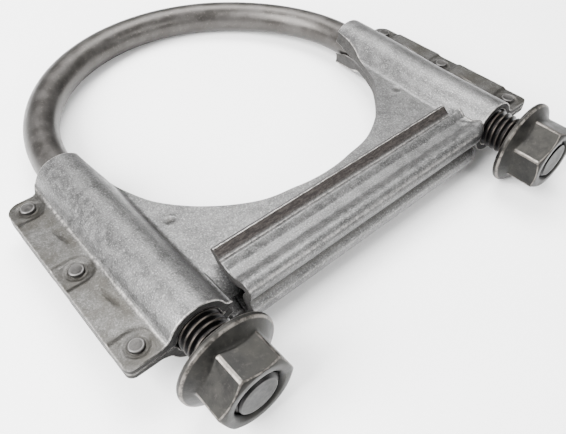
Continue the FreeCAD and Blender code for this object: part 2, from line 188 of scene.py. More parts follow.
def build_rod():
    """One tube swept along leg, bend and leg, closed by end discs."""
    around = 64
    turn = np.arange(around) * 2 * math.pi / around
    thread_steps = np.arange(0, THREAD_LENGTH, PITCH / 12)
    plain_steps = np.arange(THREAD_LENGTH, BOLT_END, 1.2)
    leg = np.concatenate([thread_steps, plain_steps])
    bend = np.linspace(0, math.pi, 121)
    rings = [("leg", 1, from_end) for from_end in leg]
    rings += [("bend", 0, angle) for angle in bend]
    rings += [("leg", -1, from_end) for from_end in leg[::-1]]
    points, crest, threaded, end_face = [], [], [], []
    for kind, side, value in rings:
        if kind == "leg":
            centre = np.array([side * LEG_X, value - BOLT_END, 0])
            outward = np.array([side, 0, 0])
            radius = thread_radius(value, turn, side)
            in_thread = 1 - smoothstep(THREAD_LENGTH - 2, THREAD_LENGTH, value)
        else:
            outward = np.array([math.cos(value), math.sin(value), 0])
            centre = outward * LEG_X
            radius = np.full(around, ROD_R)
            in_thread = 0.0
        around_axis = np.cos(turn)[:, None] * outward + np.sin(turn)[:, None] * [0, 0, 1]
        ring = centre + radius[:, None] * around_axis
        points.extend(ring)
        crest.extend((radius - THREAD_ROOT) / (THREAD_R - THREAD_ROOT) * in_thread)
        threaded.extend([in_thread] * around)
        end_face.extend([0.0] * around)
    faces = lathe_faces(len(rings), around)
    for side, first in ((1, 0), (-1, (len(rings) - 1) * around)):
        last = list(range(first, first + around))
        for share, dip in ((0.93, -0.04), (0.6, 0.0), (0.3, 0.03)):
            start = len(points)
            radius = (THREAD_R - END_CHAMFER) * share
            for angle in turn:
                points.append(np.array([side * (LEG_X + radius * math.cos(angle)), -BOLT_END + dip,
                                        radius * math.sin(angle)]))
            ring = list(range(start, start + around))
            crest.extend([0.3] * around)
            threaded.extend([0.0] * around)
            end_face.extend([1.0] * around)
            faces.extend(cap_strip(last, ring, side))
            last = ring
        points.append(np.array([side * LEG_X, -BOLT_END + 0.04, 0]))
        crest.append(0.3)
        threaded.append(0.0)
        end_face.append(1.0)
        centre = len(points) - 1
        for step in range(around):
            pair = (last[step], last[(step + 1) % around])
            faces.append((*pair, centre) if side < 0 else (*pair[::-1], centre))
    layers = {"crest": crest, "threaded": threaded, "end_face": end_face}
    obj = make_object("bolt_rod", splay(points), faces, layers)
    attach(obj, "u_bolt")
    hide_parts("u_bolt")
    return obj


def cap_strip(outer, inner, side):
    """Quads between two rings of an end face."""
    count = len(outer)
    quads = []
    for step in range(count):
        after = (step + 1) % count
        quad = (outer[step], outer[after], inner[after], inner[step])
        quads.append(quad if side < 0 else quad[::-1])
    return quads


# ---------------------------------------------------------------- the saddle stampings

def arch(radius, base, fillet, fillet_steps=6, arc_steps=28):
    """Section of a half tube about its own axis, from the inner foot to the outer foot, as (x, z)."""
    foot = math.sqrt((radius + fillet) ** 2 - (base + fillet) ** 2)
    lean = math.atan2(base + fillet, foot)
    rise = np.linspace(-math.pi / 2, -lean, fillet_steps, endpoint=False)
    left = np.stack([-foot + fillet * np.cos(rise), base + fillet + fillet * np.sin(rise)], axis=1)
    sweep = np.linspace(math.pi - lean, lean, arc_steps)
    crown = np.stack([radius * np.cos(sweep), radius * np.sin(sweep)], axis=1)
    right = left[::-1] * [-1, 1]
    return np.concatenate([left, crown, right]), foot


def across_profile():
    """Stations across a stamping: outer (x, z), inner (x, z) and whether each belongs to the web."""
    outer_arch, outer_foot = arch(TUBE_OUTER, SHEET, CREASE_R)
    inner_arch, inner_foot = arch(TUBE_BORE, 0.0, MOUTH_R)
    outer_web, inner_web = LEG_X - outer_foot, LEG_X - inner_foot
    shared = np.concatenate([np.arange(-BAR_LEFT, -38, 0.4), np.linspace(-38, 41, 67)[1:],
                             np.arange(41.4, BAR_RIGHT - 0.5, 0.4), [BAR_RIGHT - 0.25, BAR_RIGHT]])
    before = np.arange(0, 0.99, 0.11)
    left_outer = -outer_web + (outer_web - BAR_LEFT) * before
    left_inner = -inner_web + (inner_web - BAR_LEFT) * before
    after = np.arange(1, 9.5) / 9
    right_outer = BAR_RIGHT + (outer_web - BAR_RIGHT) * after
    right_inner = BAR_RIGHT + (inner_web - BAR_RIGHT) * after
    web_outer = np.concatenate([left_outer, shared, right_outer])
    web_inner = np.concatenate([left_inner, shared, right_inner])
    edge_steps = np.array([0, 0.1, 0.22, 0.4, 0.7])

    def flange_from(foot):
        plate = np.linspace(LEG_X + foot, FLANGE_X - 1.05, 21)
        return np.concatenate([plate, FLANGE_X - edge_steps[::-1]])

    def whole(web, arch_points, flange, height):
        plate = np.stack([flange[1:], np.full(len(flange) - 1, height)], axis=1)
        right = np.concatenate([arch_points + [LEG_X, 0], plate])
        middle = np.stack([web[1:-1], np.full(len(web) - 2, height)], axis=1)
        return np.concatenate([right[::-1] * [-1, 1], middle, right])

    flange_outer = flange_from(outer_foot)
    outer = whole(web_outer, outer_arch, flange_outer, SHEET)
    inner = whole(web_inner, inner_arch, flange_from(inner_foot), 0.0)
    side_count = len(outer_arch) + len(flange_outer) - 1
    is_web = np.zeros(len(outer), bool)
    is_web[side_count:-side_count] = True
    return outer, inner, is_web


def rear_line(x):
    """Rear edge of a stamping: the pipe's arc, the half tubes' ends and the rounded flange ends."""
    x = abs(x)
    if x < SEAT_R:
        wide = SEAT_R + ARC_SPREAD * float(smoothstep(8, 22, x) * (1 - smoothstep(43, 49, x)))
        return min(-math.sqrt(wide ** 2 - x ** 2), -TUBE_REAR)
    past_tube = float(smoothstep(FLANGE_STEP - 0.9, FLANGE_STEP + 0.9, x))
    line = -TUBE_REAR - (FLANGE_REAR - TUBE_REAR) * past_tube
    return line - corner_drop(x, CORNER_REAR)


def front_line(x):
    """Front edge of the half tubes and flanges."""
    return -TUBE_FRONT + corner_drop(abs(x), CORNER_FRONT)


def corner_drop(x, radius):
    """How far a rounded flange corner lies behind the square one."""
    past = max(0.0, x - (FLANGE_X - radius))
    return radius - math.sqrt(max(0.0, radius ** 2 - past ** 2))


def rivet_dishes(x, y):
    """Relief and darkening of the outer face of a flange: dishes round the rivets, a ring each; the dark
    ring at each rivet's foot is painted shade, and each dish is drawn darker inside and round its edge.
    """
    relief, grime_and_shade = np.zeros_like(x), np.zeros_like(x)
    for centre in RIVETS.values():
        if centre[0] * x.mean() < 0:
            continue
        inward = np.maximum(0.0, abs(centre[0]) - np.abs(x))
        along = y - centre[1]
        if centre[1] == max(c[1] for c in RIVETS.values()):
            along = np.maximum(0.0, -along)
        elif centre[1] == min(c[1] for c in RIVETS.values()):
            along = np.maximum(0.0, along)
        off = np.hypot(inward * 1.05, along)
        relief -= DISH_DEPTH * (1 - smoothstep(DISH_R - 0.75, DISH_R + 0.55, off))
        ring = np.hypot(x - centre[0], y - centre[1])
        relief -= 0.28 * np.exp(-((ring - 2.55) / 0.33) ** 2)
        relief += 0.10 * np.exp(-((ring - 3.35) / 0.4) ** 2)
        # painted shade: a dark ring round each rivet's foot
        grime_and_shade = np.maximum(grime_and_shade, np.exp(-((ring - 2.35) / 0.45) ** 2))
        # darker round each dish's edge and inside the dish
        grime_and_shade = np.maximum(grime_and_shade, 0.8 * np.exp(-((off - DISH_R - 0.1) / 0.6) ** 2))
        grime_and_shade = np.maximum(grime_and_shade, 0.35 * (off < DISH_R))
    return relief, grime_and_shade


def web_marks(x, y):
    """Small clinch dimples on the web beside the arc."""
    marks = np.zeros_like(x)
    for across, along in ((-44.0, -38.0), (46.0, -37.0)):
        off = np.hypot(x - across, y - along)
        ragged = off + 0.35 * waves(x, y, 1.9, 21)
        marks += -0.24 * np.exp(-(ragged / 1.0) ** 2) + 0.11 * np.exp(-((ragged - 1.8) / 0.5) ** 2)
    return marks


def bend_scars(x, y):
    """Two short tool dents on each flange beside the bend."""
    scars = np.zeros_like(x)
    for along in (-24.0, -50.0):
        off = np.hypot((np.abs(x) - 68.3 - (y - along) * 0.10) / 0.35, (y - along) / 3.4)
        scars -= 0.38 * np.exp(-off ** 2)
    return scars


def edge_rounding(distance):
    """How far each face sinks beside a cut edge."""
    inside = np.clip(EDGE_R - distance, 0, EDGE_R)
    return EDGE_R - np.sqrt(np.maximum(EDGE_R ** 2 - inside ** 2, 0))


def stamping_surface(profile, split, outside):
    """Grid of points (column, row, xyz) of one face of a stamping, and its layers."""
    rear_steps = np.array([0, 0.09, 0.2, 0.36, 0.6])
    body_rows = 132
    front_rows = 24
    grid, edge = [], []
    for x, z in profile:
        rear, front = rear_line(x), front_line(x)
        fine = rear - rear_steps
        body = np.linspace(rear - 0.95, -split, body_rows)
        nose = np.linspace(-split, front + 0.95, front_rows)[1:]
        tip = front + rear_steps[::-1]
        rows = np.concatenate([fine, body, nose, tip])
        if abs(x) < SEAT_R:
            seat = np.hypot(x, rows) - SEAT_R
        else:
            seat = rear - rows
        nearest = np.minimum(np.minimum(seat, rows - front), FLANGE_X - abs(x))
        grid.append(np.stack([np.full(len(rows), x), rows, np.full(len(rows), z)], axis=1))
        edge.append(np.maximum(nearest, 0))
    grid, edge = np.array(grid), np.array(edge)
    if outside:
        width = 0.42 + 0.16 * waves(grid[..., 0] * 0.1, grid[..., 1], 9.0, 31)
        worn = np.exp(-((np.abs(grid[..., 0]) - CREASE_X) / width) ** 2)
        edge = np.minimum(edge, 0.08 + 0.6 * (1 - worn))
    columns = np.gradient(profile, axis=0)
    normal = np.stack([-columns[:, 1], columns[:, 0]], axis=1)
    normal /= np.linalg.norm(normal, axis=1)[:, None]
    push = -edge_rounding(edge) if outside else edge_rounding(edge)
    x, y = grid[..., 0], grid[..., 1]
    grime_and_shade = np.zeros_like(x)
    if outside:
        push = push + 0.05 * waves(x, y, 14.0, 3) + 0.025 * waves(x, y, 5.0, 4)
        left, right = x < -FLANGE_STEP + 1, x > FLANGE_STEP - 1
        for part in (left, right):
            fade = smoothstep(FLANGE_STEP - 1.0, FLANGE_STEP + 0.8, np.abs(x[part]))
            relief, dish_dirt_and_shade = rivet_dishes(x[part], y[part])
            scars = bend_scars(x[part], y[part])
            push[part] += (relief + scars) * fade
            # darker in the rivet dishes and tool dents, with painted shade at each rivet's foot
            grime_and_shade[part] = np.maximum(dish_dirt_and_shade, -3.0 * scars) * fade
        web = np.abs(x) < LEG_X - TUBE_OUTER
        marks = web_marks(x[web], y[web])
        push[web] += marks
        grime_and_shade[web] = np.clip(-4 * marks, 0, 0.8)
    grid[..., 0] += normal[:, 0][:, None] * push
    grid[..., 2] += normal[:, 1][:, None] * push
    return grid, edge, grime_and_shade, len(rear_steps) + body_rows - 1


def bar_section():
    """Outer and inner outline of the rolled front bar, as (y, z), from the web's front line to the lip."""
    half = SHEET / 2
    lobe_mid, roll_mid = LOBE_R - half, ROLL_R - half
    gap = ROLL - LOBE
    span = np.linalg.norm(gap)
    ahead, side = lobe_mid + GROOVE_R, roll_mid + GROOVE_R
    share = (ahead ** 2 - side ** 2 + span ** 2) / (2 * span)
    height = math.sqrt(ahead ** 2 - share ** 2)
    unit = gap / span
    groove = LOBE + unit * share + np.array([-unit[1], unit[0]]) * height
    start = LOBE + lobe_mid * np.array([math.cos(SLOPE), -math.sin(SLOPE)])
    climb = np.array([math.sin(SLOPE), math.cos(SLOPE)])
    knee = start + climb * ((-half - start[1]) / climb[1])
    reach = 1.0
    line = [knee + np.array([reach, 0]), knee + np.array([reach * 0.35, -0.06]),
            knee - climb * reach * 0.5, knee - climb * reach * 1.6]
    line += [start + climb * s for s in (3.0, 1.5, 0.5)]
    to_groove = math.atan2(groove[1] - LOBE[1], groove[0] - LOBE[0])
    line += arc(LOBE, lobe_mid, -SLOPE, to_groove - 2 * math.pi, 26)
    line += arc(groove, GROOVE_R, to_groove - math.pi, math.atan2(*(ROLL - groove)[::-1]), 9)[1:]
    roll_start = math.atan2(*(ROLL - groove)[::-1]) + math.pi
    line += arc(ROLL, roll_mid, roll_start, math.pi / 2, 14)[1:]
    top = ROLL[1] + roll_mid
    for y in np.linspace(ROLL[0] + 0.6, CREASE_Y - 0.7, 14):
        dish = smoothstep(ROLL[0], -65.0, y) * (1 - smoothstep(-62.6, CREASE_Y - 0.2, y))
        line.append(np.array([y, top - FOLD_DISH * dish]))
    lip = np.array([math.cos(LIP_ANGLE), math.sin(LIP_ANGLE)])
    foot = np.array([CREASE_Y, top])
    line += [foot + lip * s for s in (0.3, 0.6, 0.9, 1.2, 1.5, 2.1, 2.8, 3.4)]
    line += [foot + lip * (LIP_LENGTH - s) for s in (0.3, 0.12, 0)]
    line = np.array(line)
    steps = np.gradient(line, axis=0)
    steps /= np.linalg.norm(steps, axis=1)[:, None]
    normal = np.stack([-steps[:, 1], steps[:, 0]], axis=1)
    thick = np.full(len(line), half)
    along_lip = np.clip((line[:, 0] - CREASE_Y) / (lip[0] * LIP_LENGTH), 0, 1) * (line[:, 1] > top - 0.2)
    thick = thick * (1 - 0.3 * along_lip)
    shift = (half - thick)[:, None] * -normal
    offset = normal * thick[:, None]
    return line + shift + offset, line + shift - offset, along_lip


def arc(centre, radius, start, end, count):
    """Points on a circular arc, as a list."""
    angles = np.linspace(start, end, count)
    return [centre + radius * np.array([math.cos(a), math.sin(a)]) for a in angles]


class Sheet:
    """A sheet of metal held as two matching faces; the rim between them is closed at the end."""

    def __init__(self):
        self.points = []
        # edge layer: worn cut edges and painted highlights; last layer: soiling and painted shade
        self.layers = {"shear": [], "lip": [], "edge": [], "grime_and_shade": []}
        self.quads = []

    def add(self, outer, inner, edge=1.0, lip=0.0, grime_and_shade=0.0):
        """One pair of points; the pair's number is returned."""
        self.points.extend([outer, inner])
        self.layers["shear"].extend((0.0, 0.0))
        self.layers["lip"].extend((lip, 0.0))
        self.layers["edge"].extend((edge, edge))
        self.layers["grime_and_shade"].extend((grime_and_shade, 0.0))
        return len(self.points) // 2 - 1

    def quad(self, a, b, c, d):
        self.quads.append((a, b, c, d))

    def build(self, name, flip):
        """The closed mesh: both faces, and a rim of its own points so that the cut edge can look cut."""
        used = {}
        for quad in self.quads:
            for start, end in zip(quad, quad[1:] + quad[:1]):
                used[(start, end)] = True
        faces = [tuple(2 * i for i in quad) for quad in self.quads]
        faces += [tuple(2 * i + 1 for i in quad[::-1]) for quad in self.quads]
        rim = [(start, end) for start, end in used if (end, start) not in used]
        twin = {}
        for index in sorted({i for pair in rim for i in pair}):
            outer, inner = np.array(self.points[2 * index]), np.array(self.points[2 * index + 1])
            for face, share in ((0, 0.02), (1, 0.5), (2, 0.98)):
                twin[(index, face)] = len(self.points)
                self.points.append(outer + (inner - outer) * share)
                for layer, value in (("shear", 1.0), ("lip", 0.0), ("edge", 0.0), ("grime_and_shade", 0.0)):
                    self.layers[layer].append(value)
        for start, end in rim:
            for low, high in ((None, 0), (0, 1), (1, 2), (2, 3)):
                first = self.rim_point(twin, end, low)
                second = self.rim_point(twin, start, low)
                third = self.rim_point(twin, start, high)
                fourth = self.rim_point(twin, end, high)
                faces.append((first, second, third, fourth))
        if flip:
            faces = [face[::-1] for face in faces]
        return make_object(name, splay(self.points), faces, self.layers)

    def rim_point(self, twin, index, level):
        """Point of the rim at a level: None is the outer face, 3 the inner face, 0 to 2 between."""
        if level is None:
            return 2 * index
        if level == 3:
            return 2 * index + 1
        return twin[(index, level)]


def build_stamping(name, upward):
    """One stamping; upward is 1 for the upper one and -1 for the lower one, which carries the bar."""
    section_outer, section_inner, along_lip = bar_section()
    split = -section_outer[0][0]
    outer_profile, inner_profile, is_web = across_profile()
    outer, edge, grime_and_shade, split_row = stamping_surface(outer_profile, split, True)
    inner = stamping_surface(inner_profile, split, False)[0]
    flip = np.array([1, 1, upward])
    sheet = Sheet()
    columns, rows = outer.shape[:2]
    number = -np.ones((columns, rows), int)
    for i in range(columns):
        last = split_row + 1 if is_web[i] else rows
        for j in range(last):
            number[i, j] = sheet.add(outer[i, j] * flip, inner[i, j] * flip, edge[i, j], 0.0, grime_and_shade[i, j])
    for i in range(columns - 1):
        both_web = is_web[i] or is_web[i + 1]
        for j in range((split_row if both_web else rows - 1)):
            sheet.quad(number[i, j], number[i, j + 1], number[i + 1, j + 1], number[i + 1, j])
    if upward < 0:
        add_bar(sheet, outer_profile, number[:, split_row], section_outer, section_inner, along_lip)
    else:
        add_apron(sheet, outer_profile, number[:, split_row], section_outer, section_inner)
    return sheet.build(name, flip=upward < 0)


def add_bar(sheet, profile, first_row, outer, inner, along_lip):
    """The rolled front bar, joined to the web's front line column by column, with painted highlights along
    its crease, roll and lobe and painted shade in its groove and under its lobe.
    """
    add_gussets(sheet, profile, first_row, outer, inner)
    columns = [i for i, (x, _) in enumerate(profile) if -BAR_LEFT - 0.01 < x < BAR_RIGHT + 0.01]
    last_lip = int(np.argmax(along_lip > 0))
    steps = len(outer)
    number = {}
    for i in columns:
        x = profile[i][0]
        number[(i, 0)] = first_row[i]
        closing = smoothstep(BAR_RIGHT - 2.2, BAR_RIGHT, x)
        burr = 0.16 * waves(np.array(x), np.array(0.0), 2.1, 8)
        burr = burr + 0.08 * waves(np.array(x), np.array(0.0), 0.8, 9)
        for k in range(1, steps):
            out, inn = outer[k].copy(), inner[k].copy()
            if out[1] < 0:
                out = LOBE + (out - LOBE) * (1 - 0.16 * closing ** 2)
            if along_lip[k] > 0.9:
                out[1] += burr
                inn[1] += burr * 0.6
            sag = 0.06 * waves(np.array(x), np.array(out[0] * 0.4), 22.0, 12)
            dark = float(smoothstep(0.26, 0.40, along_lip[k]) * (1 - smoothstep(0.93, 0.98, along_lip[k])))
            # bright is a painted highlight: a line along the crease and lines on the roll and lobe crests;
            # at the lip's tip it is the worn burr
            bright = max(float(np.exp(-((along_lip[k] - 0.16) / 0.10) ** 2)), float(along_lip[k] > 0.95))
            for height, depth, amount in ((3.9, -70.6, 0.62), (-2.6, -71.9, 0.45)):
                ridge = np.hypot(out[0] - depth, out[1] - height)
                bright = max(bright, amount * float(np.exp(-(ridge / 0.55) ** 2)))
            # painted shade: darker in the groove between roll and lobe, and towards the lobe's underside
            painted_groove_shade = float(np.exp(-np.hypot(out[0] + 71.0, (out[1] + 0.35) * 1.2) ** 2 / 1.1))
            under = 0.75 * float(smoothstep(-4.6, -7.2, out[1]))
            # bright goes in as painted highlight through the edge layer, the groove and underside shade go
            # in as painted shade
            number[(i, k)] = sheet.add((x, out[0], out[1] + sag), (x, inn[0], inn[1] + sag),
                                       0.6 * (1 - bright), dark, max(painted_groove_shade, under))
    for a, b in zip(columns, columns[1:]):
        for k in range(steps - 1):
            sheet.quad(number[(a, k)], number[(a, k + 1)], number[(b, k + 1)], number[(b, k)])
    add_fold_end(sheet, columns[-1], number, outer, inner, last_lip)


def add_strip(sheet, profile, columns, first_row, outer, inner, steps):
    """A sheet carried on from the web's front line along the first steps of a path."""
    number = {}
    for i in columns:
        x = profile[i][0]
        number[(i, 0)] = first_row[i]
        for k in range(1, steps):
            number[(i, k)] = sheet.add((x, *outer[k]), (x, *inner[k]), 2.0)
    for a, b in zip(columns, columns[1:]):
        for k in range(steps - 1):
            sheet.quad(number[(a, k)], number[(a, k + 1)], number[(b, k + 1)], number[(b, k)])


def add_gussets(sheet, profile, first_row, outer, inner):
    """The lower web beside the bar, bent down between each bar end and the half tube."""
    foot = LEG_X - TUBE_OUTER + 0.4
    steps = next(k for k in range(len(outer)) if outer[k][0] < LOBE[0] - 0.5) + 1
    for low, high in ((-foot, -BAR_LEFT + 0.01), (BAR_RIGHT - 0.01, foot)):
        columns = [i for i, (x, z) in enumerate(profile) if low < x < high and z < SHEET + 0.01]
        add_strip(sheet, profile, columns, first_row, outer, inner, steps)


def add_apron(sheet, profile, first_row, outer, inner):
    """The upper web's front edge, following the lower sheet down for a short way."""
    foot = LEG_X - TUBE_OUTER + 0.4
    columns = [i for i, (x, z) in enumerate(profile) if abs(x) < foot and z < SHEET + 0.01]
    above = 2 * inner - outer
    add_strip(sheet, profile, columns, first_row, above, inner, 5)


def add_fold_end(sheet, last_column, number, outer, inner, last_lip):
    """The folded layer's right end, drawn up against the right half tube."""
    first_fold = next(k for k in range(len(outer)) if outer[k][1] > 0.3 and outer[k][0] < ROLL[0])
    before = {k: number[(last_column, k)] for k in range(first_fold, last_lip + 1)}
    for share in np.linspace(0.14, 1.0, 9):
        now = {}
        for k in range(first_fold, last_lip + 1):
            pair = []
            for point in (outer[k], inner[k]):
                front = 1 - smoothstep(-71.0, -66.0, point[0])
                rise = 0.35 * share ** 2 * (1 - front)
                wrinkle = 0.10 * math.sin(share * 8 + point[0] * 0.9) * math.sin(share * math.pi)
                flank = LEG_X - math.sqrt(TUBE_OUTER ** 2 - min(max(point[1], 0.5), 5.0) ** 2) + 0.2
                x = BAR_RIGHT + (flank - BAR_RIGHT) * share
                pair.append((x, point[0] + 1.1 * front * share ** 2, point[1] + rise + wrinkle))
            worn = math.exp(-((share - 0.93) / 0.09) ** 2)
            now[k] = sheet.add(pair[0], pair[1], 0.6 * (1 - worn), 0.0)
        for k in range(first_fold, last_lip):
            sheet.quad(before[k], before[k + 1], now[k + 1], now[k])
        before = now


def build_saddle():
    pieces = []
    for name, upward in (("upper_saddle", 1), ("lower_saddle", -1)):
        obj = build_stamping(f"{name}_stamping", upward)
        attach(obj, "saddle")
        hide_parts(name)
        pieces.append(obj)
    return pieces


# ---------------------------------------------------------------- nuts and rivets

def hexagon_radius(turn, flats, corner):
    """Distance from the axis to a hexagon's side, with slightly rounded corners."""
    sector = (turn + math.pi / 6) % (math.pi / 3) - math.pi / 6
    return np.minimum(flats / 2 / np.cos(sector), corner)


def build_nut(node, turn_degrees):
    """Hexagon flange nut: bearing face, rim, cone, bevelled hexagon, countersunk bore."""
    low, high = box_mm(node)
    around = 288
    turn = np.arange(around) * 2 * math.pi / around
    flats, corner_r, face_r, bore_r = 18.0, 10.2, 8.75, 6.06
    hexagon = hexagon_radius(turn + math.pi / 6, flats, corner_r)
    flange, rim, cone_slope, bevel = NUT_FLANGE_R, 1.5, 1.45, math.tan(math.radians(30))
    cone_foot = rim + (flange - 0.45 - hexagon) / cone_slope
    bevel_foot = NUT_HEIGHT - (hexagon - face_r) * bevel
    flat = np.ones(around)
    near_corner = np.exp(-((corner_r - hexagon) / 0.16) ** 2)
    rows = [
        (bore_r, 1.2, 0.0), (bore_r, 0.9, 0.0), (bore_r + 0.9, 0, 0.2), (flange - 0.5, 0, 0.3),
        (flange - 0.12, 0.12, 0.8), (flange, 0.45, 0.5), (flange, rim - 0.55, 0.5),
        (flange - 0.1, rim - 0.2, 1.0), (flange - 0.38, rim + 0.02, 1.0),
        (flange - 0.8, rim + 0.26, 0.35), (hexagon + 0.9, cone_foot - 0.62, 0.1),
        (hexagon + 0.4, cone_foot - 0.26, 0.15), (hexagon + 0.12, cone_foot + 0.02, 0.3),
        (hexagon + 0.02, cone_foot + 0.3, 0.2), (hexagon, cone_foot + 0.7, 0.05),
        (hexagon, cone_foot + (bevel_foot - cone_foot) * 0.4, 0.0),
        (hexagon, cone_foot + (bevel_foot - cone_foot) * 0.7, 0.0),
        (hexagon, bevel_foot - 0.35, 0.3), (hexagon - 0.02, bevel_foot - 0.1, 0.9),
        (hexagon - 0.12, bevel_foot + 0.06, 1.0),
        (face_r + (hexagon - face_r) * 0.5, NUT_HEIGHT - (hexagon - face_r) * 0.5 * bevel, 0.3),
        (face_r + 0.05, NUT_HEIGHT - 0.04, 0.25), (face_r - 0.25, NUT_HEIGHT, 0.1),
        (bore_r + 1.15, NUT_HEIGHT, 0.15), (bore_r + 0.95, NUT_HEIGHT - 0.1, 0.5),
        (bore_r + 0.02, NUT_HEIGHT - 1.0, 0.0), (bore_r, NUT_HEIGHT - 1.3, 0.0),
        (bore_r, NUT_HEIGHT / 2, 0.0),
    ]
    points, worn, painted_bore_shade = [], [], []
    for index, (radius, height, wear) in enumerate(rows):
        ring = [radius * np.cos(turn), radius * np.sin(turn), height * flat]
        points.extend(np.stack(ring, axis=1))
        on_hexagon = 13 <= index <= 19
        worn.extend(np.maximum(wear, near_corner * 0.9 * on_hexagon))
        # painted shade: the bore rows are marked to be drawn near black
        painted_bore_shade.extend([1.0 if index in (0, 1, 25, 26, 27) else 0.0] * around)
    layers = {"worn": worn, "painted_bore_shade": painted_bore_shade}
    obj = make_object(f"{node}_body", points, lathe_faces(len(rows), around), layers)
    place = Matrix.Translation(Vector(((low[0] + high[0]) / 2, -NUT_BEARING, 0)) * MM)
    place = place @ Matrix.Rotation(math.pi / 2, 4, "X")
    place = place @ Matrix.Rotation(math.radians(turn_degrees), 4, "Z")
    obj.data.transform(place)
    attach(obj, node)
    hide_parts(node)
    return obj


def build_rivet(node, centre):
    """Turned rivet: a low button with a soft shoulder on each side of the flanges."""
    around = 48
    turn = np.arange(around) * 2 * math.pi / around
    top = RIVET_TOP - 0.34
    half = [(0.9, top - 0.1), (1.35, top - 0.06), (1.62, top), (1.84, top - 0.08), (1.97, top - 0.3),
            (2.0, top - 0.6), (2.0, top - 0.9), (1.9, top - 1.2)]
    outline = half + [(r, -z) for r, z in reversed(half)]
    rng = np.random.default_rng(int(abs(centre[0] * 7 + centre[1] * 13)))
    points, worn = [], []
    points.append(np.array([0, 0, top - 0.12]))
    worn.append(0.2)
    for radius, height in outline:
        squash = 1 + 0.035 * np.sin(2 * turn + rng.uniform(0, 6))
        points.extend(np.stack([radius * squash * np.cos(turn), radius * squash * np.sin(turn),
                                np.full(around, height)], axis=1))
        worn.extend([1.0 if 1.6 < radius < 1.9 else 0.15] * around)
    points.append(np.array([0, 0, 0.12 - top]))
    worn.append(0.2)
    faces = [tuple(1 + i for i in face[::-1]) for face in lathe_faces(len(outline), around)]
    last = 1 + (len(outline) - 1) * around
    for step in range(around):
        after = (step + 1) % around
        faces.append((0, 1 + step, 1 + after))
        faces.append((len(points) - 1, last + after, last + step))
    points = np.array(points) + splay([[centre[0], centre[1], 0]])
    obj = make_object(f"{node}_button", points, faces, {"worn": worn})
    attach(obj, "saddle")
    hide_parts(node)
    return obj


# ---------------------------------------------------------------- materials

class Shader:
    """Small helper that wires a Principled material from procedural nodes."""

    def __init__(self, name, metallic):
        self.material = bpy.data.materials.new(name)
        self.material.use_nodes = True
        self.tree = self.material.node_tree
        self.surface = self.tree.nodes["Principled BSDF"]
        self.surface.inputs["Metallic"].default_value = metallic
        self.place = self.node("ShaderNodeTexCoord").outputs["Object"]

    def node(self, kind, **settings):
        made = self.tree.nodes.new(kind)
        for key, value in settings.items():
            setattr(made, key, value)
        return made

    def link(self, source, socket):
        if hasattr(source, "is_output"):
            self.tree.links.new(source, socket)
        else:
            socket.default_value = source

    def stretched(self, scale):
        mapping = self.node("ShaderNodeMapping")
        mapping.inputs["Scale"].default_value = scale
        self.link(self.place, mapping.inputs["Vector"])
        return mapping.outputs["Vector"]

    def noise(self, size_mm, detail=4.0, rough=0.55, vector=None):
        """Noise with features about size_mm wide."""
        made = self.node("ShaderNodeTexNoise")
        made.inputs["Scale"].default_value = 1.0 / (size_mm * MM)
        made.inputs["Detail"].default_value = detail
        made.inputs["Roughness"].default_value = rough
        self.link(vector or self.place, made.inputs["Vector"])
        return made.outputs["Fac"]

    def spread(self, value, low, high, to_low=0.0, to_high=1.0):
        made = self.node("ShaderNodeMapRange", interpolation_type="SMOOTHSTEP")
        self.link(value, made.inputs["Value"])
        made.inputs["From Min"].default_value = low
        made.inputs["From Max"].default_value = high
        made.inputs["To Min"].default_value = to_low
        made.inputs["To Max"].default_value = to_high
        return made.outputs["Result"]

    def math(self, operation, first, second):
        made = self.node("ShaderNodeMath", operation=operation, use_clamp=False)
        self.link(first, made.inputs[0])
        self.link(second, made.inputs[1])
        return made.outputs[0]

    def mix(self, share, first, second):
        """Colour mix of first and second."""
        made = self.node("ShaderNodeMix", data_type="RGBA")
        self.link(share, made.inputs["Factor"])
        self.link(first, made.inputs["A"])
        self.link(second, made.inputs["B"])
        return made.outputs["Result"]

    def layer(self, name):
        return self.node("ShaderNodeAttribute", attribute_name=name).outputs["Fac"]

    def axis(self, name):
        split = self.node("ShaderNodeSeparateXYZ")
        self.link(self.place, split.inputs[0])
        return split.outputs[name]

    def bump(self, height, strength, distance_mm, before=None):
        made = self.node("ShaderNodeBump")
        made.inputs["Strength"].default_value = strength
        made.inputs["Distance"].default_value = distance_mm * MM
        self.link(height, made.inputs["Height"])
        if before is not None:
            self.link(before, made.inputs["Normal"])
        return made.outputs["Normal"]

    def finish(self, colour, rough, normal):
        self.link(colour, self.surface.inputs["Base Color"])
        self.link(rough, self.surface.inputs["Roughness"])
        self.link(normal, self.surface.inputs["Normal"])
        return self.material


def grey(value, warmth=0.0):
    """A linear grey; warmth above 0 leans to brown."""
    return (value * (1 + warmth), value, value * (1 - warmth), 1.0)


